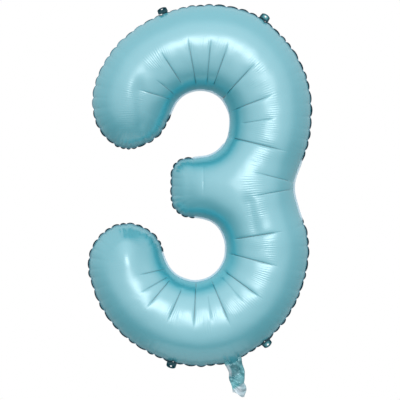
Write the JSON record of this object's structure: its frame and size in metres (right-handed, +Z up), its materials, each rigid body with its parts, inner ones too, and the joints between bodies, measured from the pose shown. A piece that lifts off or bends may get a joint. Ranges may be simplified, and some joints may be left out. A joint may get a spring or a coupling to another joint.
{
  "type": "foil number balloon",
  "caption": "Large inflated foil balloon in the shape of the digit three, with a sealed margin, hanging ears and a flat filling tail.",
  "frame": {"origin": "the hanging point: midway between the thread holes of the two top ears, in the plane of the seal", "axes": "+Z up the digit, +X to the right of someone who faces the digit and reads it, -Y towards that reader"},
  "size_m": [0.545, 0.1656, 0.9569],
  "materials": {
    "blue_foil": "satin metallised film, pastel blue",
    "sealed_margin": "heat-sealed metallised film, dark teal in the light",
    "valve_film": "clear thin film"
  },
  "bodies": {
    "envelope": {"front_foil_panel": "blue_foil", "rear_foil_panel": "blue_foil", "perimeter_seal": "sealed_margin", "valve_front_film": "valve_film", "valve_rear_film": "valve_film"},
    "tail": {"tail_front_film": "blue_foil", "tail_rear_film": "blue_foil", "tail_left_weld": "sealed_margin", "tail_right_weld": "sealed_margin"},
    "ear_top_left": {"hang_tab_top_left": "sealed_margin"},
    "ear_top_right": {"hang_tab_top_right": "sealed_margin"},
    "ear_bottom_left": {"hang_tab_bottom_left": "sealed_margin"},
    "ear_bottom_right": {"hang_tab_bottom_right": "sealed_margin"}
  },
  "joints": [
    {"name": "tail_fold", "type": "hinge", "parent": "envelope", "child": "tail", "pos_m": [0.04722, 0, -0.84899], "axis": [0.9467, 0, 0.3221], "range_deg": [-80, 80]},
    {"name": "ear_bend_top_left", "type": "hinge", "parent": "envelope", "child": "ear_top_left", "pos_m": [-0.12396, 0, 0.00096], "axis": [0.9257, 0, 0.3782], "range_deg": [-70, 70], "stiffness_Nm_per_rad": 0.0002},
    {"name": "ear_bend_top_right", "type": "hinge", "parent": "envelope", "child": "ear_top_right", "pos_m": [0.12248, 0, -0.01591], "axis": [0.8337, 0, -0.5522], "range_deg": [-70, 70], "stiffness_Nm_per_rad": 0.0002},
    {"name": "ear_bend_bottom_left", "type": "hinge", "parent": "envelope", "child": "ear_bottom_left", "pos_m": [-0.10219, 0, -0.85335], "axis": [-0.9549, 0, 0.2971], "range_deg": [-70, 70], "stiffness_Nm_per_rad": 0.0002},
    {"name": "ear_bend_bottom_right", "type": "hinge", "parent": "envelope", "child": "ear_bottom_right", "pos_m": [0.12753, 0, -0.80317], "axis": [-0.743, 0, -0.6693], "range_deg": [-70, 70], "stiffness_Nm_per_rad": 0.0002}
  ]
}
